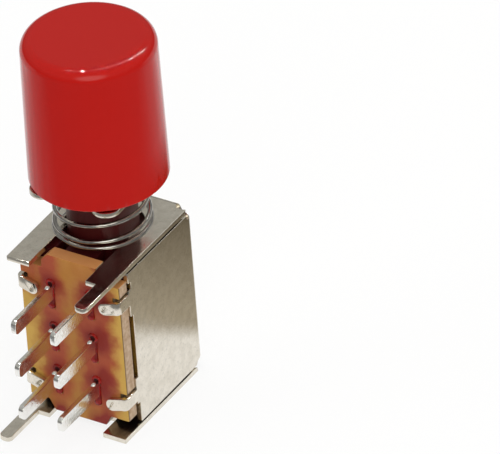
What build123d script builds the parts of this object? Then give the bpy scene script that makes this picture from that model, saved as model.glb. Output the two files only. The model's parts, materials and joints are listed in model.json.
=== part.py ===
from build123d import *
import os
from math import cos, pi, radians, sin

os.makedirs("parts", exist_ok=True)

# Self-locking push-button switch with two changeover poles.
# Frame: Z runs along the plunger and out of the button. X = Y = 0 is the plunger's axis, Z = 0 is
# the outer face of the rear plate, and the terminals leave the case towards -Y.
# The plunger is drawn released, at the outer end of its travel.

# ---------------------------------------------------------------- driving sizes, millimetres

# folded case
case_width = 8.4            # across the outer faces of the side panels
case_length = 13.9          # outer face of the rear plate to outer face of the front plate
axis_to_back = 5.0          # plunger axis to the outer face of the back panel
sheet = 0.4                 # thickness of the steel
bend_radius = 0.25          # inside radius of every fold of the back panel
panel_slit = 0.15           # gap between a side panel and the end plates
corner_hole = 0.65          # radius of the relief hole at each back corner
fork_width = 4.7            # opening of the front plate that the shank runs in
fork_depth = 2.75           # how far that opening goes past the plunger axis
fork_corner = 1.5
edge_relief = 0.3           # how far a side panel stands back from the board between supports

# legs and tabs of the end plates, measured from the board's outer face
leg_width = 1.0
front_leg_reach = 4.55
rear_leg_reach = 4.3
front_shoulder_reach = 1.5
rear_shoulder_reach = 0.5
rear_flap_width = 1.9       # rear leg with its shoulder, and rear tab
leg_tip_radius = 0.4
front_tab_reach = 1.35
rear_tab_reach = 0.85

# clinch tabs that hold the board
clinch_width = 1.0
clinch_spacing = 8.2        # between the two tabs of one side panel
clinch_middle = 7.05        # from the rear plate's outer face to the middle between them
clinch_overlap = 1.7        # how far a tab covers the board
clinch_end = 0.45           # rounding of a tab's end
clinch_lean = 0.4           # a tab's end leans this far towards the rear plate
clinch_seat = 0.01          # a clinched tab all but touches the board
support_inner = 1.45        # a side panel's support, from its clinch tab to the case's middle
support_outer = 0.75        # and towards the case's end
front_support = 0.85        # small support beside the front plate
punch_mark = 0.12           # depth of the punch's mark on a tab
punch_length = 0.55
punch_slant = 60            # degrees

# terminal board
axis_to_board = 4.8         # plunger axis to the board's outer face
board_thickness = 1.1
board_side_gap = 0.15       # the board's sides stand this far inside the case's sides
board_shoulder_front = 1.15 # side shoulders, back from the outer faces of the end plates
board_shoulder_rear = 1.3
board_rear_gap = 0.05       # rear tongue to the rear plate
tongue_gap = 0.08           # front tongue to the sides of the fork opening
tongue_rear_width = 4.2
tongue_slant = 0.45         # sideways slant from the rear tongue to the shoulders
tongue_chamfer = 0.55
notch_depth = 0.55          # of the board's notches for the clinch tabs
notch_gap = 0.15
slot_gap = 0.05             # board slot around a terminal
slot_spare = 0.25           # open end of each slot in front of its pin

# terminals
pitch = 3.66
row_spacing = 3.2
common_z = 7.13             # pins of the middle pair
terminal_thickness = 0.4
pin_width = 1.15
pin_tip_radius = 0.4
pin_reach = 5.05            # beyond the board's outer face
stub_width = 0.5
stub_height = 0.12
neck_tail = 0.8             # from a pin to the far side of its stub
blade_length = 2.8
blade_depth = 1.55
blade_chamfer = 0.3
blade_shift = 0.3           # the blade's middle lies behind the pin's middle

# travel
travel = 2.0                # full stroke
lock_stroke = 1.5           # stroke at which the latch holds
stop_gap = 0.05             # slider to front plate, released
bottom_gap = 0.1            # slider to rear plate, fully pressed
guide_gap = 0.06            # slider to the walls that guide it

# plunger
board_gap = 0.2             # slider to the board's inner face
shank_diameter = 5.2
shank_gap = 0.1             # shank flats to the fork opening
spring_room = 4.1           # front plate to the back of the retainer, released
groove_half_width = 1.45
groove_bottom = 1.4
flange_width = 5.5
flange_height = 4.8
flange_thickness = 1.33
flange_chamfer = 1.0
tip_size = 3.3              # square shank that the cap is pushed on
block_length = 2.2
neck_size = 2.6             # undercut behind the tip
neck_gap = 0.95
tip_length = 2.8
tip_chamfer = 0.25

# retainer
retainer_thickness = 0.4
retainer_half_width = 3.6
retainer_bottom = 3.55
ear_top = 4.25              # plunger axis to the top of an ear
retainer_corner = 0.4
retainer_play = 0.03        # around the plunger's groove

# return spring
wire_diameter = 0.4
coil_radius_plate = 3.45    # mean radius on the front plate
coil_radius_retainer = 3.2  # mean radius under the retainer
closed_turns_plate = 1.2
active_turns = 2.1
closed_turns_retainer = 0.5
spring_start = 206          # where the wire ends on the plate, degrees from +X
spring_seat = 0.02
points_per_turn = 12
wire_sides = 6

# latch
latch_wire = 0.5            # diameter of the latch pin
latch_gap = 0.07            # latch pin to the slider and to the leaf spring
latch_reach = 8.6           # pivot to the tip that follows the track
latch_swing = 0.9           # sideways way of the tip over the full stroke
latch_bend = 0.3            # inside the wire's bends, to its middle
hook_length = 1.1
hook_lift = 0.12
track_depth = 0.78
track_gap = 0.06
return_lane = 1.9           # sideways distance between the two lanes of the track
recess_width = 3.1
leaf_thickness = 0.15
leaf_width = 1.3
leaf_rear_gap = 3.6         # ends of the leaf to the inner faces of the end plates
leaf_front_gap = 1.2

# contact clips
clip_thickness = 0.18
clip_width = 1.5
clip_depth = 1.95           # pocket, from the slider's board side
clip_gap = 0.03             # spring fingers to the fixed blades
finger_length = 1.3         # pocket floor to the grip
finger_flare = 0.45
finger_split = 0.5
channel_gap = 0.15          # slider channels to the fixed blades

# button cap
cap_rim_diameter = 9.94
cap_top_diameter = 9.64
cap_height = 11.45
cap_wall = 0.9              # at the top of the straight bore
cap_top_wall = 1.2
cap_edge_radius = 0.9
cap_rim_gap = 0.07          # rim to the retainer
boss_diameter = 5.6
boss_gap = 0.25             # boss to the flange
rib_thickness = 0.8
rib_set_back = 1.6          # ribs end this far above the rim

# ---------------------------------------------------------------- worked-out places

half_width = case_width / 2
plate_back = case_length - sheet
board_outer = -axis_to_board
board_inner = board_outer + board_thickness
fork_half = fork_width / 2
slider_rear = sheet + bottom_gap + travel
slider_front = plate_back - stop_gap
retainer_back = case_length + spring_room
retainer_front = retainer_back + retainer_thickness
flange_back = retainer_front + retainer_play
flange_front = flange_back + flange_thickness
block_front = flange_front + block_length
tip_back = block_front + neck_gap
tip_front = tip_back + tip_length
cap_rim = retainer_front + cap_rim_gap
cap_top = cap_rim + cap_height
clinch_heights = [clinch_middle + step * clinch_spacing / 2 for step in (-1, 1)]
latch_x = -(fork_half + latch_wire / 2 + shank_gap)
pivot_z = plate_back + sheet / 2

# ---------------------------------------------------------------- frame
# One folded blank: a tray with folded back edges, slit at its four corners so that the side
# panels and the end plates are separate flaps, with legs, tabs and clinch tabs on their edges.

with BuildPart() as frame:
    with BuildSketch(Plane.XZ.offset(-axis_to_back)):
        with Locations((0, case_length / 2)):
            Rectangle(case_width, case_length)
    extrude(amount=axis_to_back - board_inner)
    fillet(frame.faces().sort_by(Axis.Y)[-1].edges(), radius=bend_radius + sheet)
    offset(amount=-sheet, openings=frame.faces().sort_by(Axis.Y)[0])

    # slits between the side panels and the two end plates
    slit_length = axis_to_back - sheet - bend_radius - board_inner
    for slit_z in (sheet, plate_back - panel_slit):
        with BuildSketch(Plane.XY.offset(slit_z)):
            with Locations(*[(side * half_width, board_inner) for side in (-1, 1)]):
                Rectangle(2 * sheet, 2 * slit_length)
        extrude(amount=panel_slit, mode=Mode.SUBTRACT)

    # round relief holes where three folds meet
    for side in (-1, 1):
        for end_z, end_dir in ((0, -1), (case_length, 1)):
            corner = Plane(origin=(side * half_width, axis_to_back, end_z), z_dir=(side, 1, end_dir))
            with BuildSketch(corner):
                Circle(corner_hole)
            extrude(amount=2 * (bend_radius + sheet), both=True, mode=Mode.SUBTRACT)

    # side panels stand back from the board, apart from the supports beside the clinch tabs
    relief_ends = [sheet + panel_slit,
                   clinch_heights[0] - support_outer, clinch_heights[0] + support_inner,
                   clinch_heights[1] - support_inner, clinch_heights[1] + support_outer,
                   plate_back - panel_slit - front_support]
    with BuildSketch(Plane.YZ):
        for low, high in zip(relief_ends[0::2], relief_ends[1::2]):
            with Locations((board_inner, (low + high) / 2)):
                Rectangle(2 * edge_relief, high - low)
    extrude(amount=case_width, both=True, mode=Mode.SUBTRACT)

    # fork opening for the shank, with a notch for the latch pin
    with BuildSketch(Plane.XY.offset(plate_back)) as fork:
        with Locations((0, (board_inner + fork_depth) / 2)):
            Rectangle(fork_width, fork_depth - board_inner)
        fillet(fork.vertices().group_by(Axis.Y)[-1], radius=fork_corner)
        with Locations((latch_x, 0)):
            Rectangle(2 * (abs(latch_x) - fork_half), latch_wire + 2 * track_gap)
    extrude(amount=sheet, mode=Mode.SUBTRACT)

    # front plate: long leg with its shoulder on +X, short tab on -X
    with BuildSketch(Plane.XY.offset(plate_back)):
        with BuildLine():
            Polyline((half_width, board_inner), (half_width, board_outer - front_leg_reach),
                     (half_width - leg_width, board_outer - front_leg_reach),
                     (half_width - leg_width, board_outer - front_shoulder_reach),
                     (fork_half, board_outer - front_shoulder_reach),
                     (fork_half, board_inner), close=True)
        front_leg = make_face()
        fillet(front_leg.vertices().group_by(Axis.Y)[0], radius=leg_tip_radius)
        with BuildLine():
            Polyline((-half_width, board_inner), (-half_width, board_outer - front_tab_reach),
                     (-fork_half, board_outer - front_tab_reach),
                     (-fork_half, board_inner), close=True)
        make_face()
    extrude(amount=sheet)

    # rear plate: long leg with its shoulder on -X, short tab on +X
    with BuildSketch(Plane.XY):
        with BuildLine():
            Polyline((-half_width, board_inner), (-half_width, board_outer - rear_leg_reach),
                     (-half_width + leg_width, board_outer - rear_leg_reach),
                     (-half_width + leg_width, board_outer - rear_shoulder_reach),
                     (-half_width + rear_flap_width, board_outer - rear_shoulder_reach),
                     (-half_width + rear_flap_width, board_inner), close=True)
        rear_leg = make_face()
        fillet(rear_leg.vertices().group_by(Axis.Y)[0], radius=leg_tip_radius)
        with BuildLine():
            Polyline((half_width, board_inner), (half_width, board_outer - rear_tab_reach),
                     (half_width - rear_flap_width, board_outer - rear_tab_reach),
                     (half_width - rear_flap_width, board_inner), close=True)
        make_face()
    extrude(amount=sheet)

    # clinch tabs: up through the board's notches, then folded over its face
    clinch_face = axis_to_board + clinch_seat
    for height in clinch_heights:
        for side in (-1, 1):
            with BuildSketch(Plane.XZ.offset(-board_inner)):
                with Locations((side * (half_width - sheet / 2), height)):
                    Rectangle(sheet, clinch_width)
            extrude(amount=board_inner + clinch_face)
            fold_x = side * (half_width - sheet)
            end_x = side * (half_width - clinch_overlap)
            low, high = height - clinch_width / 2, height + clinch_width / 2
            with BuildSketch(Plane.XZ.offset(clinch_face)) as flap:
                with BuildLine():
                    Polyline((side * half_width, low), (fold_x, low), (end_x, low - clinch_lean),
                             (end_x, high - clinch_lean), (fold_x, high),
                             (side * half_width, high), close=True)
                make_face()
                fillet(flap.vertices().sort_by(Axis.X, reverse=side < 0)[:2], radius=clinch_end)
            extrude(amount=sheet)
    fold_line = frame.edges().filter_by(Axis.Z).filter_by_position(
        Axis.Y, -clinch_face - sheet - clinch_seat, -clinch_face - sheet + clinch_seat)
    fillet(fold_line.group_by(Axis.X)[0] + fold_line.group_by(Axis.X)[-1], radius=sheet)

    # the punch leaves a slanting mark near the end of each tab
    with BuildSketch(Plane.XZ.offset(clinch_face + sheet)):
        for side in (-1, 1):
            mark_x = side * (half_width - clinch_overlap + clinch_end)
            with Locations(*[Location((mark_x, height - clinch_lean / 2), punch_slant)
                             for height in clinch_heights]):
                Rectangle(punch_length, punch_mark)
    extrude(amount=-punch_mark, mode=Mode.SUBTRACT)
frame.part.label = "frame"
export_step(frame.part, "parts/frame.step")

# ---------------------------------------------------------------- terminal board
# Sheared and punched phenolic board. It lies on the side panels' supports. Its front tongue
# closes the fork opening, and its rear tongue reaches the rear plate.

terminal_heights = {"rear": common_z - pitch, "common": common_z, "front": common_z + pitch}
terminal_rows = {"a": -row_spacing / 2, "b": row_spacing / 2}
neck_length = pin_width + neck_tail
side_x = half_width - board_side_gap
tongue_x = fork_half - tongue_gap
rear_x = tongue_rear_width / 2

with BuildPart() as terminal_board:
    with BuildSketch(Plane.XZ.offset(-board_inner)):
        with BuildLine():
            Polyline((-rear_x, sheet + board_rear_gap), (rear_x, sheet + board_rear_gap),
                     (rear_x + tongue_slant, board_shoulder_rear), (side_x, board_shoulder_rear),
                     (side_x, case_length - board_shoulder_front),
                     (tongue_x, case_length - board_shoulder_front),
                     (tongue_x, case_length), (-tongue_x + tongue_chamfer, case_length),
                     (-tongue_x, case_length - tongue_chamfer),
                     (-tongue_x, case_length - board_shoulder_front),
                     (-side_x, case_length - board_shoulder_front),
                     (-side_x, board_shoulder_rear),
                     (-rear_x - tongue_slant, board_shoulder_rear), close=True)
        make_face()
        for height in clinch_heights:
            with Locations((-side_x, height), (side_x, height)):
                Rectangle(2 * notch_depth, clinch_width + 2 * notch_gap, mode=Mode.SUBTRACT)
        for row_x in terminal_rows.values():
            for pin_z in terminal_heights.values():
                slot_low = pin_z + pin_width / 2 - neck_length - slot_gap
                slot_high = pin_z + pin_width / 2 + slot_spare
                with Locations((row_x, (slot_low + slot_high) / 2)):
                    Rectangle(terminal_thickness + 2 * slot_gap, slot_high - slot_low,
                              mode=Mode.SUBTRACT)
    extrude(amount=board_thickness)
terminal_board.part.label = "terminal_board"
export_step(terminal_board.part, "parts/terminal_board.step")

# ---------------------------------------------------------------- terminals
# Stamped blades on edge. The pin and a short staked stub stand on the outer side of the board,
# the neck fills the slot, and the wide blade inside is the fixed contact.

for row, row_x in terminal_rows.items():
    for place, pin_z in terminal_heights.items():
        pin_low = pin_z - pin_width / 2
        neck_low = pin_low - neck_tail
        blade_low = pin_z - blade_shift - blade_length / 2
        with BuildPart() as terminal:
            with BuildSketch(Plane.YZ.offset(row_x - terminal_thickness / 2)) as stamping:
                with Locations((board_outer - pin_reach, pin_low)):
                    Rectangle(pin_reach, pin_width, align=Align.MIN)
                fillet(stamping.vertices().group_by(Axis.X)[0], radius=pin_tip_radius)
                with Locations((board_outer - stub_height, neck_low)):
                    Rectangle(stub_height, stub_width, align=Align.MIN)
                with Locations((board_outer, neck_low)):
                    Rectangle(board_thickness, neck_length, align=Align.MIN)
                with BuildLine():
                    Polyline((board_inner, blade_low), (board_inner, blade_low + blade_length),
                             (board_inner + blade_depth - blade_chamfer, blade_low + blade_length),
                             (board_inner + blade_depth, blade_low + blade_length - blade_chamfer),
                             (board_inner + blade_depth, blade_low + blade_chamfer),
                             (board_inner + blade_depth - blade_chamfer, blade_low), close=True)
                make_face()
            extrude(amount=terminal_thickness)
        name = f"terminal_{row}_{place}"
        terminal.part.label = name
        export_step(terminal.part, f"parts/{name}.step")

# ---------------------------------------------------------------- plunger
# One red moulding. The slider block fills the case and carries the contact clips in two
# channels on its board side. Its -X side has a recess for the latch pin, and in the recess's
# floor the heart-shaped track. In front follow the shank, the retainer's groove, the flange and
# the square tip for the button cap.

slider_x = half_width - sheet - guide_gap
slider_back = axis_to_back - sheet - guide_gap
slider_board = board_inner + board_gap
shank_x = fork_half - shank_gap
recess_floor = latch_x + latch_wire / 2 + latch_gap
blade_tip = board_inner + blade_depth
clip_length = 2 * pitch - blade_length
clip_rear = common_z - blade_shift - pitch + blade_length / 2 + lock_stroke / 2
tip_y = latch_swing / 2
tip_z = pivot_z - latch_reach
track_lane = latch_wire / 2 + track_gap
clip_floor = slider_board + clip_depth
recess_middle = return_lane / 2 - tip_y
heart = [(tip_y, tip_z), (-tip_y, tip_z + travel), (recess_middle, tip_z + lock_stroke),
         (return_lane - tip_y, tip_z + travel), (return_lane - tip_y, tip_z + travel / 2)]

with BuildPart() as plunger:
    with BuildSketch(Plane.XY.offset(slider_rear)):
        with Locations((0, (slider_board + slider_back) / 2)):
            Rectangle(2 * slider_x, slider_back - slider_board)
    extrude(amount=slider_front - slider_rear)
    chamfer(plunger.faces().sort_by(Axis.Y)[-1].edges(), length=bend_radius + guide_gap)

    with BuildSketch(Plane.XY.offset(slider_front)):
        Circle(shank_diameter / 2)
        Rectangle(2 * shank_x, shank_diameter, mode=Mode.INTERSECT)
    extrude(amount=retainer_back - retainer_play - slider_front)

    # groove for the retainer
    with BuildSketch(Plane.XY.offset(retainer_back - retainer_play)):
        with Locations((0, (groove_bottom - shank_diameter / 2) / 2)):
            Rectangle(2 * groove_half_width, groove_bottom + shank_diameter / 2)
        Circle(shank_diameter / 2, mode=Mode.INTERSECT)
    extrude(amount=retainer_thickness + 2 * retainer_play)

    with BuildSketch(Plane.XY.offset(flange_back)) as flange:
        Rectangle(flange_width, flange_height)
        chamfer(flange.vertices(), length=flange_chamfer)
    extrude(amount=flange_thickness)

    with BuildSketch(Plane.XY.offset(flange_front)):
        Rectangle(tip_size, tip_size)
    extrude(amount=block_length)
    with BuildSketch(Plane.XY.offset(block_front)):
        Rectangle(neck_size, neck_size)
    extrude(amount=neck_gap)
    with BuildSketch(Plane.XY.offset(tip_back)):
        Rectangle(tip_size, tip_size)
    extrude(amount=tip_length)
    chamfer(plunger.faces().sort_by(Axis.Z)[-1].edges(), length=tip_chamfer)

    # channels for the fixed blades, each widened into the pocket of its contact clip
    for row_x in terminal_rows.values():
        with BuildSketch(Plane.XY.offset(slider_rear)):
            with Locations((row_x, slider_board)):
                Rectangle(terminal_thickness + 2 * channel_gap,
                          2 * (blade_tip + channel_gap - slider_board))
        extrude(amount=slider_front - slider_rear, mode=Mode.SUBTRACT)
        with BuildSketch(Plane.XY.offset(clip_rear)):
            with Locations((row_x, slider_board)):
                Rectangle(clip_width, 2 * (clip_floor - slider_board))
        extrude(amount=clip_length, mode=Mode.SUBTRACT)

    # recess for the latch pin and its leaf spring
    with BuildSketch(Plane.YZ.offset(recess_floor)):
        with Locations((recess_middle, (slider_rear + slider_front) / 2)):
            Rectangle(recess_width, slider_front - slider_rear)
    extrude(amount=-slider_x - recess_floor, mode=Mode.SUBTRACT)

    # heart-shaped track in the recess's floor
    with BuildSketch(Plane.YZ.offset(recess_floor)):
        with BuildLine():
            Polyline(*heart, close=True)
        make_face()
        offset(amount=track_lane)
        with BuildLine():
            Polyline(*heart, close=True)
            offset(amount=-track_lane, mode=Mode.REPLACE)
        make_face(mode=Mode.SUBTRACT)
    extrude(amount=track_depth, mode=Mode.SUBTRACT)
plunger.part.label = "plunger"
export_step(plunger.part, "parts/plunger.step")

# ---------------------------------------------------------------- spring retainer
# Horseshoe of sheet steel, pushed into the plunger's groove from its +Y side. Two round-topped
# ears stand beside the shank on the board's side.

ear_width = retainer_half_width - groove_half_width - retainer_play
ear_x = retainer_half_width - ear_width / 2
with BuildPart() as spring_retainer:
    with BuildSketch(Plane.XY.offset(retainer_back)) as horseshoe:
        with Locations((0, (retainer_bottom - ear_top + ear_width / 2) / 2)):
            Rectangle(2 * retainer_half_width, retainer_bottom + ear_top - ear_width / 2)
        fillet(horseshoe.vertices().group_by(Axis.Y)[-1], radius=retainer_corner)
        with Locations((-ear_x, ear_width / 2 - ear_top), (ear_x, ear_width / 2 - ear_top)):
            Circle(ear_width / 2)
        with Locations((0, (groove_bottom + retainer_play - ear_top) / 2)):
            Rectangle(2 * (groove_half_width + retainer_play),
                      groove_bottom + retainer_play + ear_top, mode=Mode.SUBTRACT)
    extrude(amount=retainer_thickness)
spring_retainer.part.label = "spring_retainer"
export_step(spring_retainer.part, "parts/spring_retainer.step")

# ---------------------------------------------------------------- return spring
# Wire between the front plate and the retainer, closed at both ends and a little wider on the
# plate. The section of the wire is simplified to a polygon, here and in the latch pin.

spring_low = case_length + wire_diameter / 2 + spring_seat
spring_high = retainer_back - wire_diameter / 2 - spring_seat
closed_pitch = wire_diameter + spring_seat
active_start = closed_turns_plate
active_end = closed_turns_plate + active_turns
spring_turns = active_end + closed_turns_retainer
active_low = spring_low + closed_pitch * closed_turns_plate
active_high = spring_high - closed_pitch * closed_turns_retainer
radius_step = (coil_radius_plate - coil_radius_retainer) / spring_turns


def spring_point(turn):
    """Middle of the wire after a number of turns from the front plate."""
    radius = coil_radius_plate - radius_step * turn
    angle = 2 * pi * turn + radians(spring_start)
    if turn < active_start:
        height = spring_low + closed_pitch * turn
    elif turn < active_end:
        height = active_low + (active_high - active_low) * (turn - active_start) / active_turns
    else:
        height = active_high + closed_pitch * (turn - active_end)
    return Vector(radius * cos(angle), radius * sin(angle), height)


steps = round(spring_turns * points_per_turn)
spring_points = [spring_point(spring_turns * step / steps) for step in range(steps + 1)]
with BuildPart() as return_spring:
    with BuildLine() as spring_wire:
        Spline(*spring_points)
    with BuildSketch(spring_wire.line ^ 0):
        RegularPolygon(wire_diameter / 2, wire_sides)
    sweep(path=spring_wire.line, is_frenet=True)
return_spring.part.label = "return_spring"
export_step(return_spring.part, "parts/return_spring.step")

# ---------------------------------------------------------------- latch pin
# Bent wire. It hooks over the front plate beside the fork opening, runs down in the plunger's
# recess, and its rear end is bent into the heart-shaped track.

hook_z = case_length + latch_wire / 2 + hook_lift
tip_x = recess_floor + track_depth - latch_gap
with BuildPart() as latch_pin:
    with BuildLine() as latch_wire_path:
        FilletPolyline((latch_x, -hook_length, hook_z), (latch_x, 0, hook_z),
                       (latch_x, tip_y, tip_z), (tip_x, tip_y, tip_z), radius=latch_bend)
    with BuildSketch(latch_wire_path.line ^ 0):
        RegularPolygon(latch_wire / 2, wire_sides)
    sweep(path=latch_wire_path.line)
latch_pin.part.label = "latch_pin"
export_step(latch_pin.part, "parts/latch_pin.step")

# ---------------------------------------------------------------- latch spring
# Bowed leaf between the side panel and the latch pin. It keeps the pin's tip in the track.

panel_face = -half_width + sheet
leaf_crown = latch_x - latch_wire / 2 - latch_gap
leaf_low = sheet + leaf_rear_gap
leaf_high = plate_back - leaf_front_gap
with BuildPart() as latch_spring:
    with BuildSketch(Plane.XZ.offset(-recess_middle - leaf_width / 2)):
        with BuildLine():
            ThreePointArc((panel_face + leaf_thickness / 2, leaf_low),
                          (leaf_crown - leaf_thickness / 2, (leaf_low + leaf_high) / 2),
                          (panel_face + leaf_thickness / 2, leaf_high))
        trace(line_width=leaf_thickness)
    extrude(amount=leaf_width)
latch_spring.part.label = "latch_spring"
export_step(latch_spring.part, "parts/latch_spring.step")

# ---------------------------------------------------------------- contact clips
# Folded spring strip in a pocket of the plunger. Two pairs of fingers grip the fixed blades, so
# each clip joins the common blade to the one in front of it or behind it.

finger_gap = terminal_thickness / 2 + clip_gap + clip_thickness / 2
clip_wall = clip_width / 2 - clip_thickness
grip_y = clip_floor - finger_length
for row, row_x in terminal_rows.items():
    with BuildPart() as contact_clip:
        with BuildSketch(Plane.XY.offset(clip_rear)):
            with BuildLine():
                Polyline((row_x - finger_flare, grip_y - finger_flare),
                         (row_x - finger_gap, grip_y),
                         (row_x - clip_wall, clip_floor - clip_thickness / 2),
                         (row_x + clip_wall, clip_floor - clip_thickness / 2),
                         (row_x + finger_gap, grip_y),
                         (row_x + finger_flare, grip_y - finger_flare))
            trace(line_width=clip_thickness)
        extrude(amount=clip_length)
        with BuildSketch(Plane.YZ):
            with Locations((grip_y, clip_rear + clip_length / 2)):
                Rectangle(finger_length, finger_split)
        extrude(amount=case_width, both=True, mode=Mode.SUBTRACT)
    contact_clip.part.label = f"contact_clip_{row}"
    export_step(contact_clip.part, f"parts/contact_clip_{row}.step")

# ---------------------------------------------------------------- button cap
# Moulded cap: a slightly tapered cup with a rounded top edge. Inside, a boss with a square
# socket grips the plunger's tip, and four ribs tie the boss to the wall.

rim_radius = cap_rim_diameter / 2
top_radius = cap_top_diameter / 2
bore_radius = top_radius - cap_wall
ceiling = cap_top - cap_top_wall
boss_low = flange_front + boss_gap
with BuildPart() as button_cap:
    with BuildSketch(Plane.XZ) as cup:
        with BuildLine():
            Polyline((0, cap_top), (top_radius, cap_top), (rim_radius, cap_rim),
                     (bore_radius, cap_rim), (bore_radius, ceiling), (0, ceiling), close=True)
        make_face()
        fillet(cup.vertices().sort_by_distance((top_radius, cap_top))[0], radius=cap_edge_radius)
    revolve(axis=Axis.Z)
    with BuildSketch(Plane.XY.offset(boss_low)):
        Circle(boss_diameter / 2)
    extrude(amount=ceiling - boss_low)
    with BuildSketch(Plane.XY.offset(cap_rim + rib_set_back)):
        Rectangle(top_radius + bore_radius, rib_thickness)
        Rectangle(rib_thickness, top_radius + bore_radius)
        Circle(boss_diameter / 2 - rib_thickness, mode=Mode.SUBTRACT)
    extrude(amount=ceiling - cap_rim - rib_set_back)
    with BuildSketch(Plane.XY.offset(boss_low)):
        Rectangle(tip_size, tip_size)
    extrude(amount=tip_front - boss_low, mode=Mode.SUBTRACT)
button_cap.part.label = "button_cap"
export_step(button_cap.part, "parts/button_cap.step")
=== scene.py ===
import json
from math import cos, hypot, pi, radians, sin, tan

import bpy
from mathutils import Matrix, Vector

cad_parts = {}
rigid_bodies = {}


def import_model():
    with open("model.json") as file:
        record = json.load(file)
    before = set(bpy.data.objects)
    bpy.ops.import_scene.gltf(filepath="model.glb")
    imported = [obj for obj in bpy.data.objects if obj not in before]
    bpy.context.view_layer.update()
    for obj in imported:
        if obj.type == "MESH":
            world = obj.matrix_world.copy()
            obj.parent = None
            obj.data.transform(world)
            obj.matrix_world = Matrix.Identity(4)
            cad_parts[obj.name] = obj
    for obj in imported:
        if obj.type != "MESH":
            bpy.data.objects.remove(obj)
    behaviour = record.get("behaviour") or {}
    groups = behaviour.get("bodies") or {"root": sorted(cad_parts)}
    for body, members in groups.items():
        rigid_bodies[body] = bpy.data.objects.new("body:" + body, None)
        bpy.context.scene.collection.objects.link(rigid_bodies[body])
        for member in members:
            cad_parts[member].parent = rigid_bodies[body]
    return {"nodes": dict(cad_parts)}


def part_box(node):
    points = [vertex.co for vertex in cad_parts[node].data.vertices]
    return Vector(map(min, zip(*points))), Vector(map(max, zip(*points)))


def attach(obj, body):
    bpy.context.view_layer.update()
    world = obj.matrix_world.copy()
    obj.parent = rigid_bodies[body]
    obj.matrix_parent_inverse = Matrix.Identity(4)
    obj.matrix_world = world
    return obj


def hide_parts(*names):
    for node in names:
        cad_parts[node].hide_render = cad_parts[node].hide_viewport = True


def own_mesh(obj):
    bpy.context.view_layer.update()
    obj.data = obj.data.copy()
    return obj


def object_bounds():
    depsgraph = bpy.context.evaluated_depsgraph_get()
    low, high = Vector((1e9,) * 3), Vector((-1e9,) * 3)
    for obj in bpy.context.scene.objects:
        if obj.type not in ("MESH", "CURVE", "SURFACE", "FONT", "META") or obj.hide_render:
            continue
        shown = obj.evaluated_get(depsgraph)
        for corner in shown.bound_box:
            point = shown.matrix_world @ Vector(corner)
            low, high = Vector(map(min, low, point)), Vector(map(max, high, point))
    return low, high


# A self-locking push-button switch: a folded steel case with a phenolic terminal board, and a
# sprung plunger that carries a round red cap. Z runs out of the button, and the terminals leave
# the case towards -Y.
for leftover in list(bpy.data.objects):
    bpy.data.objects.remove(leftover)
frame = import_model()
cad_low, cad_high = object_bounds()
bpy.context.scene.view_settings.view_transform = "Standard"
MM = 0.001

# ---------------------------------------------------------------- camera
# A long lens far away, looking down on the terminals' side from the front leg's side, with the
# camera rolled a little.

azimuth = radians(33.6)
elevation = radians(35.0)
roll = radians(-4.38)
aim = Vector((5.258, 10.487, 8.715)) * MM
camera_distance = 0.9774
camera_data = bpy.data.cameras.new("camera")
camera_data.lens = 1000
camera_data.sensor_width = 36
camera_data.clip_start = 0.1
camera_data.clip_end = 10
turn = Matrix.Rotation(azimuth, 4, "Z") @ Matrix.Rotation(pi / 2 - elevation, 4, "X")
turn = turn @ Matrix.Rotation(roll, 4, "Z")
camera = bpy.data.objects.new("camera", camera_data)
bpy.context.scene.collection.objects.link(camera)
camera.matrix_world = Matrix.Translation(aim + turn.to_3x3().col[2] * camera_distance) @ turn
bpy.context.scene.camera = camera

# ---------------------------------------------------------------- floor
# White paper, and plain white to the camera. Gloss and metal see it white round the switch and
# behind it, and dimmer towards the side where the camera stands above. That side is fixed: it
# doesn't follow a camera that is moved.


def empty_nodes(owner):
    """Gives a material or the world an empty node tree."""
    owner.use_nodes = True
    owner.node_tree.nodes.clear()
    return owner.node_tree.nodes, owner.node_tree.links


def arithmetic(owner, operation, first, second=0):
    """One sum on two values, each a number or another node's output."""
    node = owner.node_tree.nodes.new("ShaderNodeMath")
    node.operation = operation
    for socket, value in zip(node.inputs, (first, second)):
        if isinstance(value, (int, float)):
            socket.default_value = value
        else:
            owner.node_tree.links.new(value, socket)
    return node.outputs[0]


def spread(owner, value, low, high, to_low, to_high):
    """Maps a value from one range to another, clamped at both ends."""
    remap = owner.node_tree.nodes.new("ShaderNodeMapRange")
    remap.inputs["From Min"].default_value = low
    remap.inputs["From Max"].default_value = high
    remap.inputs["To Min"].default_value = to_low
    remap.inputs["To Max"].default_value = to_high
    owner.node_tree.links.new(value, remap.inputs["Value"])
    return remap.outputs["Result"]


def distance(owner, first, second):
    """Length of a step of two parts at right angles."""
    return arithmetic(owner, "SQRT", arithmetic(
        owner, "ADD", arithmetic(owner, "MULTIPLY", first, first),
        arithmetic(owner, "MULTIPLY", second, second)))


def on_the_floor(material, way):
    """How far along X, along a way and from the middle a point of the floor is, in metres."""
    nodes, links = material.node_tree.nodes, material.node_tree.links
    place = nodes.new("ShaderNodeTexCoord")
    axes = nodes.new("ShaderNodeSeparateXYZ")
    links.new(place.outputs["Object"], axes.inputs[0])
    x, y = axes.outputs["X"], axes.outputs["Y"]
    along_way = arithmetic(material, "ADD", arithmetic(material, "MULTIPLY", x, way[0]),
                           arithmetic(material, "MULTIPLY", y, way[1]))
    return x, along_way, distance(material, x, y)


def shown(owner, share, first, second, kind="Material"):
    """Mixes two shaders by a share and shows the mix."""
    nodes, links = owner.node_tree.nodes, owner.node_tree.links
    mix = nodes.new("ShaderNodeMixShader")
    output = nodes.new("ShaderNodeOutput" + kind)
    links.new(share, mix.inputs["Fac"])
    links.new(first.outputs[0], mix.inputs[1])
    links.new(second.outputs[0], mix.inputs[2])
    links.new(mix.outputs[0], output.inputs["Surface"])


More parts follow.
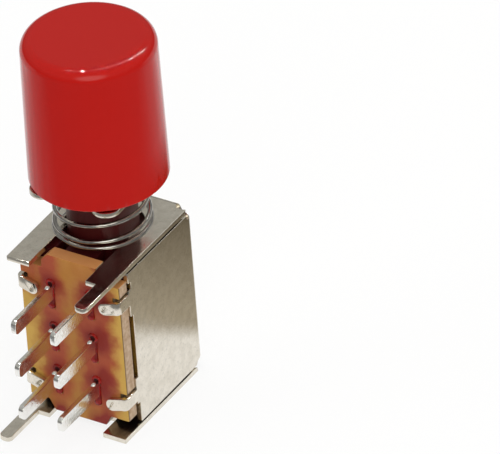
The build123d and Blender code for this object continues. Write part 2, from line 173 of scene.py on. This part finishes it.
floor_size = 4
floor_gap = 0.02
paper_grey = 0.88
paper_glow = 0.82
white_until = -38
dim_from = 14
dimmest = 0.10
patch_radius = 22
patch_end = 26
bpy.ops.object.select_all(action="DESELECT")
bpy.ops.mesh.primitive_plane_add(size=floor_size, location=(0, 0, -floor_gap * MM))
floor = bpy.context.object
floor.name = "floor"
paper = bpy.data.materials.new("white_paper")
paper_nodes, paper_links = empty_nodes(paper)
camera_side = (sin(azimuth), -cos(azimuth))
to_camera_side, from_middle = on_the_floor(paper, camera_side)[1:]
falling = spread(paper, to_camera_side, white_until * MM, dim_from * MM, 1, dimmest)
patch = spread(paper, from_middle, patch_radius * MM, patch_end * MM, 1, 0)
paper_path = paper_nodes.new("ShaderNodeLightPath")
looked_at = paper_path.outputs["Is Camera Ray"]
seen = arithmetic(paper, "MAXIMUM", looked_at, paper_path.outputs["Is Glossy Ray"])
seen = arithmetic(paper, "MAXIMUM", seen, paper_path.outputs["Is Transmission Ray"])
level = arithmetic(paper, "MAXIMUM", arithmetic(paper, "MAXIMUM", falling, patch), looked_at)
paper_matte = paper_nodes.new("ShaderNodeBsdfDiffuse")
paper_matte.inputs["Color"].default_value = (paper_grey, paper_grey, paper_grey, 1)
paper_white = paper_nodes.new("ShaderNodeEmission")
paper_links.new(level, paper_white.inputs["Strength"])
shown(paper, arithmetic(paper, "MULTIPLY", seen, paper_glow), paper_matte, paper_white)
floor.data.materials.append(paper)

# ---------------------------------------------------------------- brown card
# A glowing card that only gloss and metal see, just above the floor behind the switch on the
# right, for the side panel to mirror. It is darker further back, which the panel shows higher up.


def blended(material, share, first, second):
    """Mixes two colours by a share from 0 to 1. Each is a colour or another node's output."""
    links = material.node_tree.links
    mix = material.node_tree.nodes.new("ShaderNodeMix")
    mix.data_type = "RGBA"
    links.new(share, mix.inputs["Factor"])
    for socket, colour in ((mix.inputs[6], first), (mix.inputs[7], second)):
        if isinstance(colour, tuple):
            socket.default_value = (*colour, 1)
        else:
            links.new(colour, socket)
    return mix.outputs[2]


card_size = 80
card_lift = 0.1
card_turn = radians(-26)
card_near = (9.3 * MM, 11.0 * MM)
card_left = (2 * MM, 6 * MM)
card_far = (30 * MM, 36 * MM)
card_darkening = (12.4 * MM, 27.9 * MM)
bpy.ops.mesh.primitive_plane_add(size=card_size * MM)
bpy.ops.object.mode_set(mode="EDIT")
bpy.ops.transform.translate(value=(0, 0, card_lift * MM))
bpy.ops.object.mode_set(mode="OBJECT")
card = bpy.context.object
card.name = "brown_card"
card.visible_camera = False
card.visible_diffuse = False
card.visible_transmission = False
card.visible_shadow = False
brown = bpy.data.materials.new("brown_paper")
brown_nodes, brown_links = empty_nodes(brown)
to_right, behind, from_middle = on_the_floor(brown, (-sin(card_turn), cos(card_turn)))
near_end = spread(brown, behind, *card_near, 0, 1)
left_end = spread(brown, to_right, *card_left, 0, 1)
far_end = spread(brown, from_middle, *card_far, 1, 0)
brown_share = arithmetic(brown, "MULTIPLY", arithmetic(brown, "MULTIPLY", near_end, left_end), far_end)
brown_glow = brown_nodes.new("ShaderNodeEmission")
brown_tone = blended(brown, spread(brown, behind, *card_darkening, 0, 1),
                     (0.43, 0.385, 0.30), (0.08, 0.06, 0.035))
brown_links.new(brown_tone, brown_glow.inputs["Color"])
brown_gone = brown_nodes.new("ShaderNodeBsdfTransparent")
shown(brown, brown_share, brown_gone, brown_glow)
card.data.materials.append(brown)

# ---------------------------------------------------------------- room and lamps
# A dim room, lighter overhead, with a window behind where the camera stands above. It stays there
# if the camera is moved. Large soft lamps light the switch, and a row of small ones behind it is
# only seen in gloss and metal, as a line on the cap's edge.

window_way = (0.453, -0.682, 0.574)
window_edge = 0.90
window_full = 0.97
window_light = 2.1
low_light = 0.12
overhead_light = 0.40
room = bpy.data.worlds.new("room")
bpy.context.scene.world = room
room_nodes, room_links = empty_nodes(room)
room_path = room_nodes.new("ShaderNodeLightPath")
room_sky = room_nodes.new("ShaderNodeTexCoord")
room_axes = room_nodes.new("ShaderNodeSeparateXYZ")
room_links.new(room_sky.outputs["Generated"], room_axes.inputs[0])
overhead = spread(room, room_axes.outputs["Z"], 0.04, 0.50, low_light, overhead_light)
facing_window = room_nodes.new("ShaderNodeVectorMath")
facing_window.operation = "DOT_PRODUCT"
facing_window.inputs[1].default_value = window_way
room_links.new(room_sky.outputs["Generated"], facing_window.inputs[0])
window = spread(room, facing_window.outputs["Value"], window_edge, window_full, 0, window_light)
room_wall = room_nodes.new("ShaderNodeBackground")
room_wall.inputs["Color"].default_value = (1, 1, 0.95, 1)
room_links.new(arithmetic(room, "ADD", overhead, window), room_wall.inputs["Strength"])
room_white = room_nodes.new("ShaderNodeBackground")
room_white.inputs["Color"].default_value = (1, 1, 1, 1)
shown(room, room_path.outputs["Is Camera Ray"], room_wall, room_white, "World")


def lamp(name, place, size, power, mirrored=False):
    """A soft square lamp that faces the switch. It is either seen in gloss and metal, or lights."""
    light = bpy.data.lights.new(name, "AREA")
    light.shape = "SQUARE"
    light.size = size
    light.energy = power
    stand = bpy.data.objects.new(name, light)
    bpy.context.scene.collection.objects.link(stand)
    stand.location = (cad_low + cad_high) / 2 + Vector(place)
    stand.rotation_euler = Vector(place).to_track_quat("Z", "Y").to_euler()
    stand.visible_glossy = mirrored
    stand.visible_diffuse = not mirrored


lamp("top_lamp", (0.05, 0.10, 0.80), 0.90, 3.9)
lamp("front_lamp", (0.15, -0.60, 0.35), 0.60, 0.45)
lamp("left_lamp", (-0.50, -0.42, 0.28), 0.50, 0.95)
lamp("right_lamp", (0.70, -0.05, 0.30), 0.50, 1.5)
row_start = Vector((-0.17, 0.06, 0.50))
row_end = Vector((0.15, 0.55, 0.50))
row_lamps = 8
for number in range(row_lamps):
    row_place = row_start.lerp(row_end, number / (row_lamps - 1))
    lamp(f"row_lamp_{number}", row_place, 0.010, 0.45, True)

# ---------------------------------------------------------------- case
# One blank of thin plated steel, punched and folded into a tray. Its legs and tabs are sheared
# from the same sheet, so every edge is a little rolled over and shines.


def only(piece):
    """Selects one object alone and makes it active."""
    bpy.ops.object.select_all(action="DESELECT")
    piece.select_set(True)
    bpy.context.view_layer.objects.active = piece


def dressed(node, name, edge, segments=2, sharp=35):
    """A merged copy of a CAD node that stands for it, with its sharp edges rounded."""
    piece = bpy.data.objects.new(name, frame["nodes"][node].data.copy())
    bpy.context.scene.collection.objects.link(piece)
    only(piece)
    bpy.ops.mesh.customdata_custom_splitnormals_clear()
    bpy.ops.object.mode_set(mode="EDIT")
    bpy.ops.mesh.select_all(action="SELECT")
    bpy.ops.mesh.remove_doubles(threshold=1e-6)
    bpy.ops.mesh.dissolve_limited(angle_limit=radians(0.5))
    bpy.ops.object.mode_set(mode="OBJECT")
    rounding = piece.modifiers.new("rounding", "BEVEL")
    rounding.width = edge * MM
    rounding.segments = segments
    rounding.limit_method = "ANGLE"
    rounding.angle_limit = radians(sharp)
    rounding.use_clamp_overlap = False
    rounding.miter_outer = "MITER_ARC"
    bpy.ops.object.modifier_apply(modifier=rounding.name)
    bpy.ops.object.shade_smooth_by_angle(angle=radians(sharp))
    levelling = piece.modifiers.new("levelling", "WEIGHTED_NORMAL")
    levelling.keep_sharp = True
    levelling.weight = 100
    bpy.ops.object.modifier_apply(modifier=levelling.name)
    piece.data.materials.clear()
    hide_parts(node)
    return piece


def finish_of(name, metallic, specular=0.5):
    """A new material, with a pattern space in millimetres."""
    material = bpy.data.materials.new(name)
    material.use_nodes = True
    nodes = material.node_tree.nodes
    nodes["Principled BSDF"].inputs["Metallic"].default_value = metallic
    nodes["Principled BSDF"].inputs["Specular IOR Level"].default_value = specular
    place = nodes.new("ShaderNodeTexCoord")
    scale = nodes.new("ShaderNodeMapping")
    scale.inputs["Scale"].default_value = (1 / MM, 1 / MM, 1 / MM)
    material.node_tree.links.new(place.outputs["Object"], scale.inputs["Vector"])
    return material


def look(material, colour, roughness):
    """Sets a finish's colour and roughness, each a plain value or another node's output."""
    shader = material.node_tree.nodes["Principled BSDF"]
    if isinstance(colour, tuple):
        shader.inputs["Base Color"].default_value = (*colour, 1)
    else:
        material.node_tree.links.new(colour, shader.inputs["Base Color"])
    if isinstance(roughness, float):
        shader.inputs["Roughness"].default_value = roughness
    else:
        material.node_tree.links.new(roughness, shader.inputs["Roughness"])


def noise(material, scale, detail=3):
    """A cloudy pattern. Scale is in patches for each millimetre."""
    nodes, links = material.node_tree.nodes, material.node_tree.links
    cloud = nodes.new("ShaderNodeTexNoise")
    cloud.inputs["Scale"].default_value = scale
    cloud.inputs["Detail"].default_value = detail
    links.new(nodes["Mapping"].outputs["Vector"], cloud.inputs["Vector"])
    return cloud.outputs["Fac"]


def relief(material, height, depth):
    """Fine unevenness of a surface. Depth is in millimetres."""
    nodes, links = material.node_tree.nodes, material.node_tree.links
    bump = nodes.new("ShaderNodeBump")
    bump.inputs["Distance"].default_value = depth * MM
    links.new(height, bump.inputs["Height"])
    links.new(bump.outputs["Normal"], nodes["Principled BSDF"].inputs["Normal"])


plated = finish_of("plated_steel", 1.0)
tarnish = spread(plated, noise(plated, 1.6, 6), 0.40, 0.66, 0, 1)
pits = spread(plated, noise(plated, 8, 2), 0.58, 0.70, 0, 0.5)
plating = blended(plated, tarnish, (0.77, 0.72, 0.63), (0.69, 0.64, 0.55))
look(plated, blended(plated, pits, plating, (0.50, 0.47, 0.41)),
     spread(plated, noise(plated, 3, 5), 0.35, 0.7, 0.15, 0.24))
relief(plated, noise(plated, 6, 4), 0.0025)

case = dressed("frame", "steel_case", 0.06)
case.data.materials.append(plated)
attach(case, "case")

# ---------------------------------------------------------------- terminal board
# Amber phenolic paper board, punched and sheared. Lacquer has soaked into it along both rows of
# slots, most of all on the +X side, and left a reddish stain. The sheared edges are pale, with a
# painted line of shade along the rounded edge where they meet the outer face. Sheared faces that
# look up, under the cap, are painted a darker amber as painted shade. Sizes in the pattern are in
# millimetres.

board = dressed("terminal_board", "phenolic_board", 0.07)
board_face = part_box("terminal_board")[0].y
common_low, common_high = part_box("terminal_b_common")
row_offset = (common_low.x + common_high.x) / 2 / MM
pin_pitch = (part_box("terminal_b_front")[0].z - common_low.z) / MM
slot_end = 0.4
slot_height = common_high.z / MM - slot_end
phenolic = finish_of("phenolic", 0.0, 0.22)
phenolic_nodes, phenolic_links = phenolic.node_tree.nodes, phenolic.node_tree.links
axes = phenolic_nodes.new("ShaderNodeSeparateXYZ")
phenolic_links.new(phenolic_nodes["Mapping"].outputs["Vector"], axes.inputs[0])
board_x, board_y, board_z = axes.outputs
facing = phenolic_nodes.new("ShaderNodeSeparateXYZ")
phenolic_links.new(phenolic_nodes["Texture Coordinate"].outputs["Normal"], facing.inputs[0])

ragged_by = 1.8
row_stain = (0.4, 1.5)
slot_stain = (0.35, 1.25)
stain_bottom = (1.0, 2.2)
tongue_start = (11.7, 12.7)
tongue_side = (-1.2, -0.4)
corner_start = (9.9, 10.9)
corner_side = (-3.0, -2.0)
edge_shade_band = (0.09, 0.15)
ragged = arithmetic(phenolic, "SUBTRACT", noise(phenolic, 0.9, 4), 0.5)
ragged = arithmetic(phenolic, "MULTIPLY", ragged, ragged_by)
ragged_z = arithmetic(phenolic, "ADD", board_z, ragged)
cloud = noise(phenolic, 0.6, 4)
sideways = arithmetic(phenolic, "ABSOLUTE", board_x)
margin = spread(phenolic, arithmetic(phenolic, "ADD", sideways, ragged), 2.7, 3.5, 0, 1)
amber = blended(phenolic, spread(phenolic, cloud, 0.35, 0.65, 0, 1),
                (0.38, 0.155, 0.029), (0.43, 0.19, 0.041))
amber = blended(phenolic, margin, amber, (0.55, 0.33, 0.07))

from_row = arithmetic(phenolic, "ABSOLUTE", arithmetic(phenolic, "SUBTRACT", sideways, row_offset))
wider = spread(phenolic, board_x, 0, 1.5, 0, 0.7)
soaked = arithmetic(phenolic, "SUBTRACT", arithmetic(phenolic, "ADD", from_row, ragged), wider)
soaked = spread(phenolic, soaked, *row_stain, 1, 0)
bottom = spread(phenolic, ragged_z, *stain_bottom, 0, 1)
tongue = spread(phenolic, ragged_z, *tongue_start, 0, 0.85)
clean = arithmetic(phenolic, "MULTIPLY", tongue, spread(phenolic, board_x, *tongue_side, 0, 1))
clean = arithmetic(phenolic, "SUBTRACT", 1, clean)
soaked = arithmetic(phenolic, "MULTIPLY", arithmetic(phenolic, "MULTIPLY", soaked, bottom), clean)
top = spread(phenolic, ragged_z, *corner_start, 0, 0.85)
corner = arithmetic(phenolic, "MULTIPLY", top, spread(phenolic, board_x, *corner_side, 1, 0))
soaked = arithmetic(phenolic, "MAXIMUM", soaked, corner)
stained = blended(phenolic, soaked, amber, (0.34, 0.062, 0.024))

from_slot = arithmetic(phenolic, "PINGPONG", arithmetic(phenolic, "SUBTRACT", board_z, slot_height),
                       pin_pitch / 2)
from_slot = distance(phenolic, from_row, from_slot)
from_slot = arithmetic(phenolic, "ADD", from_slot, arithmetic(phenolic, "MULTIPLY", ragged, 0.6))
drawn_out = spread(phenolic, board_x, row_offset, row_offset + 0.6, 0, 0.7)
deep = spread(phenolic, arithmetic(phenolic, "SUBTRACT", from_slot, drawn_out), *slot_stain, 1, 0)
stained = blended(phenolic, deep, stained, (0.22, 0.018, 0.011))

sheared = spread(phenolic, arithmetic(phenolic, "ABSOLUTE", facing.outputs["Y"]), 0.5, 0.8, 1, 0)
# A painted line of shade along the rounded edge next to the outer face.
painted_edge_shade = spread(phenolic, board_y, board_face / MM + edge_shade_band[0], board_face / MM + edge_shade_band[1], 1, 0)
# Sheared faces that look up, under the cap, are painted a darker, redder amber: painted shade.
painted_top_shade = spread(phenolic, facing.outputs["Z"], 0.4, 0.7, 0, 1)
pale = blended(phenolic, spread(phenolic, noise(phenolic, 3, 5), 0.35, 0.65, 0, 1),
               (0.35, 0.225, 0.13), (0.49, 0.355, 0.245))
pale = blended(phenolic, painted_edge_shade, pale, (0.15, 0.09, 0.03))
pale = blended(phenolic, painted_top_shade, pale, blended(phenolic, cloud, (0.46, 0.17, 0.06), (0.56, 0.27, 0.09)))
look(phenolic, blended(phenolic, sheared, stained, pale), 0.38)
relief(phenolic, noise(phenolic, 4, 5), 0.012)
board.data.materials.append(phenolic)
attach(board, "case")

# ---------------------------------------------------------------- terminals
# Six flat blades stamped from brass strip and silvered. The pin's edges keep the burr of the
# shears, and their faces are bright.

silver = finish_of("silver_plate", 1.0)
look(silver, (0.87, 0.86, 0.83), spread(silver, noise(silver, 4, 4), 0.3, 0.7, 0.10, 0.26))
relief(silver, noise(silver, 5, 3), 0.012)
terminals = [node for node in frame["nodes"] if node.startswith("terminal_") and node != "terminal_board"]
for node in sorted(terminals):
    pin = dressed(node, node.replace("terminal", "silvered"), 0.06)
    pin.data.materials.append(silver)
    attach(pin, "case")

# ---------------------------------------------------------------- lacquer
# Dark red varnish that seals the terminals in the board. It has drawn up round each pin and round
# the hole in front of it, lies as a bead along the neck, and stands in a ring round the stub. The
# middle of the ring round the hole is near-black, as painted shade of the hole. A small tilted
# silver disc stands out of it at the pin's root, put there to catch a highlight. Sizes are in
# millimetres from the pin.

hole_height = 0.70
stub_height = -1.12
hole_shade_radius = 0.20
stub_radius = 0.13
glint_disc_place = (0.02, -0.50, 0.60)
glint_disc_tilt = (radians(32), radians(20), 0)
glint_disc_radii = (0.16, 0.24, 0.06)
drops = (((0, 0, 0.05), (0.28, 0.12, 0.62)),
         ((0, 0, hole_height), (0.28, 0.07, 0.28)),
         ((0, 0, -0.30), (0.29, 0.18, 0.36)),
         ((0, 0, -0.55), (0.28, 0.20, 0.36)),
         ((0, 0, -0.82), (0.28, 0.20, 0.36)),
         ((0, -0.01, stub_height), (0.30, 0.21, 0.29)))
bpy.ops.object.select_all(action="DESELECT")
bpy.ops.mesh.primitive_torus_add(location=(0, 0, hole_height), rotation=(pi / 2, 0, 0),
                                 major_radius=0.29, minor_radius=0.11)
parts = [bpy.context.object]
bpy.ops.mesh.primitive_torus_add(location=(0, -0.06, stub_height), rotation=(pi / 2, 0, 0),
                                 major_radius=0.20, minor_radius=0.10)
parts.append(bpy.context.object)
for middle, radii in drops:
    bpy.ops.mesh.primitive_uv_sphere_add(segments=32, ring_count=16, radius=1, location=middle)
    bpy.context.object.scale = radii
    parts.append(bpy.context.object)
for part in parts:
    part.select_set(True)
bpy.context.view_layer.objects.active = parts[0]
bpy.ops.object.join()
varnish = bpy.context.object
bpy.ops.object.transform_apply(location=True, rotation=True, scale=True)
flowing = varnish.modifiers.new("flowing", "REMESH")
flowing.mode = "VOXEL"
flowing.voxel_size = 0.05
bpy.ops.object.modifier_apply(modifier=flowing.name)
settling = varnish.modifiers.new("settling", "SMOOTH")
settling.factor = 0.5
settling.iterations = 5
bpy.ops.object.modifier_apply(modifier=settling.name)
bpy.ops.object.shade_smooth()

thick = finish_of("thick_lacquer", 0.0, 0.2)
thickness = spread(thick, noise(thick, 1.5, 3), 0.4, 0.6, 0, 1)
look(thick, blended(thick, thickness, (0.12, 0.004, 0.003), (0.27, 0.009, 0.006)), 0.08)
thin = finish_of("thin_lacquer", 0.0, 0.25)
look(thin, (0.26, 0.012, 0.012), 0.10)
# Near-black lacquer in the middle of the ring round the hole: painted shade of the hole.
painted_hole_shade = finish_of("hole_shade_lacquer", 0.0, 0.07)
look(painted_hole_shade, (0.032, 0.0012, 0.0016), 0.10)
for coat in (thin, painted_hole_shade):
    relief(coat, noise(coat, 3, 2), 0.02)
for coat in (thick, thin, painted_hole_shade):
    varnish.data.materials.append(coat)
for face in varnish.data.polygons:
    from_stub = hypot(face.center.x, face.center.z - stub_height)
    from_hole = hypot(face.center.x, face.center.z - hole_height)
    face.material_index = 1 if from_stub < stub_radius else 2 if from_hole < hole_shade_radius else 0

# A flat silver disc tilted at the pin's root, put there to catch a highlight.
bpy.ops.object.select_all(action="DESELECT")
bpy.ops.mesh.primitive_uv_sphere_add(segments=24, ring_count=12, radius=1,
                                     location=glint_disc_place, rotation=glint_disc_tilt)
glint_disc = bpy.context.object
glint_disc.scale = glint_disc_radii
bpy.ops.object.transform_apply(location=True, rotation=True, scale=True)
bpy.ops.object.shade_smooth()
glint_disc.data.materials.append(silver)
varnish.select_set(True)
bpy.context.view_layer.objects.active = varnish
bpy.ops.object.join()

blade_below_pin = 1.7
for node in sorted(terminals):
    pin_low, pin_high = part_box(node)
    pin_middle = Vector(((pin_low.x + pin_high.x) / 2, board_face, pin_low.z + blade_below_pin * MM))
    ring = bpy.data.objects.new(node.replace("terminal", "lacquer"), varnish.data.copy())
    bpy.context.scene.collection.objects.link(ring)
    ring.data.transform(Matrix.Translation(pin_middle) @ Matrix.Scale(MM, 4))
    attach(ring, "case")
bpy.data.objects.remove(varnish)

# ---------------------------------------------------------------- plunger
# One red moulding with a dull sheen, its red painted far darker than the cap's as painted shade,
# for it is seen in the shade, between the turns of the spring. Its round shank is eased a little,
# so that at full travel it passes the ends of the front terminals.

shank_bottom = 13.3
shank_top = 18.35
shank_inner = 2.45
shank_outer = 2.65
shank_easing = 0.975
plunger = dressed("plunger", "red_plunger", 0.03)
only(plunger)
bpy.ops.object.mode_set(mode="EDIT")
bpy.ops.mesh.select_all(action="DESELECT")
bpy.ops.object.mode_set(mode="OBJECT")
for vertex in plunger.data.vertices:
    place = vertex.co / MM
    vertex.select = shank_bottom < place.z < shank_top and shank_inner < place.xy.length < shank_outer
bpy.ops.object.mode_set(mode="EDIT")
bpy.ops.transform.resize(value=(shank_easing, shank_easing, 1), center_override=(0, 0, 0))
bpy.ops.object.mode_set(mode="OBJECT")
# The moulding's colour is painted shade: far darker than the cap's red.
shade_darkened_moulding = finish_of("shade_darkened_red", 0.0, 0.15)
look(shade_darkened_moulding, (0.055, 0.0055, 0.006), 0.30)
relief(shade_darkened_moulding, noise(shade_darkened_moulding, 3, 3), 0.01)
plunger.data.materials.append(shade_darkened_moulding)
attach(plunger, "slider")

# ---------------------------------------------------------------- spring retainer
# A horseshoe of plated sheet steel that sits in the plunger's groove and holds the spring. Its two
# ears show under the cap.

retainer = dressed("spring_retainer", "retainer_plate", 0.07)
retainer.data.materials.append(plated)
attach(retainer, "slider")

# ---------------------------------------------------------------- return spring
# Bright round wire, close-wound at both ends. The closed turns lie on the front plate and under
# the retainer. The real spring flattens between them as the plunger goes in; this one is shaped at
# rest and stays with the case. Other pieces' gloss and metal don't see it, so the front leg
# mirrors plain red.

wire = 0.35
wire_space = 0.07
plate_front = 14.0
plate_radius = 3.45
retainer_radius = 3.2
plate_turns = 1.2
active_turns = 2.1
retainer_turns = 0.5
start_angle = radians(206)
steps_per_turn = 48
retainer_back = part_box("spring_retainer")[0].z / MM
turns = plate_turns + active_turns + retainer_turns
low = plate_front + wire / 2 + wire_space
high = retainer_back - wire / 2 - wire_space
active_low = low + plate_turns * (wire + wire_space)
active_high = high - retainer_turns * (wire + wire_space)


def coil_place(turn_count):
    """Middle of the wire after a number of turns from the front plate, in metres."""
    radius = plate_radius + (retainer_radius - plate_radius) * turn_count / turns
    angle = start_angle + 2 * pi * turn_count
    if turn_count < plate_turns:
        height = low + turn_count * (wire + wire_space)
    elif turn_count < plate_turns + active_turns:
        height = active_low + (active_high - active_low) * (turn_count - plate_turns) / active_turns
    else:
        height = active_high + (turn_count - plate_turns - active_turns) * (wire + wire_space)
    return Vector((radius * cos(angle), radius * sin(angle), height)) * MM


def wire_along(name, places, thickness):
    """Round wire through a row of places, with flat, closed ends."""
    curve = bpy.data.curves.new(name, "CURVE")
    curve.dimensions = "3D"
    curve.bevel_depth = thickness / 2 * MM
    curve.bevel_resolution = 4
    curve.use_fill_caps = True
    line = curve.splines.new("POLY")
    line.points.add(len(places) - 1)
    for point, place in zip(line.points, places):
        point.co = (*place, 1)
    bent = bpy.data.objects.new(name + "_line", curve)
    bpy.context.scene.collection.objects.link(bent)
    only(bent)
    bpy.ops.object.convert(target="MESH")
    piece = bpy.context.object
    piece.name = name
    bpy.ops.object.mode_set(mode="EDIT")
    bpy.ops.mesh.select_all(action="SELECT")
    bpy.ops.mesh.remove_doubles(threshold=1e-7)
    bpy.ops.mesh.normals_make_consistent(inside=False)
    bpy.ops.object.mode_set(mode="OBJECT")
    bpy.ops.object.shade_smooth_by_angle(angle=radians(50))
    return piece


steps = round(turns * steps_per_turn)
spring = wire_along("spring_coil", [coil_place(turns * step / steps) for step in range(steps + 1)], wire)
bright = finish_of("bright_wire", 1.0)
drawn = spread(bright, noise(bright, 2.5, 3), 0.4, 0.62, 0, 1)
look(bright, blended(bright, drawn, (0.44, 0.42, 0.39), (0.30, 0.285, 0.27)),
     spread(bright, noise(bright, 2, 4), 0.35, 0.65, 0.04, 0.14))
spring.data.materials.append(bright)
spring.visible_glossy = False
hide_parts("return_spring")
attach(spring, "case")
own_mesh(spring)

# ---------------------------------------------------------------- latch
# A bent steel pin that hooks over the front plate beside the spring, and inside the case a bronze
# leaf that presses on it and two folded bronze contact clips.

latch_wire = 0.5
latch_bend = 0.3
latch_low, latch_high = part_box("latch_pin")
hook = Vector((latch_low.x + latch_wire / 2 * MM, latch_low.y, latch_high.z - latch_wire / 2 * MM))
tip = Vector((latch_high.x, latch_high.y - latch_wire / 2 * MM, latch_low.z + latch_wire / 2 * MM))
corners = [hook, Vector((hook.x, 0, hook.z)), Vector((hook.x, tip.y, tip.z)), tip]


def bent_line(corners, radius, steps):
    """Points of a line through some corners, with each inner corner rounded."""
    line = [corners[0]]
    for before, corner, after in zip(corners, corners[1:], corners[2:]):
        in_way, out_way = (before - corner).normalized(), (after - corner).normalized()
        back = radius / tan(in_way.angle(out_way) / 2)
        middle = corner + (in_way + out_way).normalized() * radius / sin(in_way.angle(out_way) / 2)
        start = (corner + in_way * back - middle).normalized()
        end = (corner + out_way * back - middle).normalized()
        line += [middle + start.slerp(end, step / steps) * radius for step in range(steps + 1)]
    return line + [corners[-1]]


latch = wire_along("latch_wire", bent_line(corners, latch_bend * MM, 8), latch_wire)
latch.data.materials.append(bright)
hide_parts("latch_pin")
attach(latch, "latch")
bronze = finish_of("spring_bronze", 1.0)
look(bronze, (0.72, 0.45, 0.22), 0.25)
relief(bronze, noise(bronze, 6, 3), 0.006)
for node in ("latch_spring", "contact_clip_a", "contact_clip_b"):
    strip = frame["nodes"][node]
    strip.data.materials.clear()
    strip.data.materials.append(bronze)

# ---------------------------------------------------------------- button cap
# A glossy red moulding with a rounded top edge and a little draft, pushed on the plunger's tip.
# Inside it are a boss with a square socket, and ribs.

cap = dressed("button_cap", "red_cap", 0.12, 3)
gloss = finish_of("cap_gloss", 0.0, 0.26)
look(gloss, (0.405, 0.0075, 0.005), spread(gloss, noise(gloss, 0.5, 3), 0.3, 0.7, 0.05, 0.08))
relief(gloss, noise(gloss, 0.5, 2), 0.006)
cap.data.materials.append(gloss)
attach(cap, "slider")
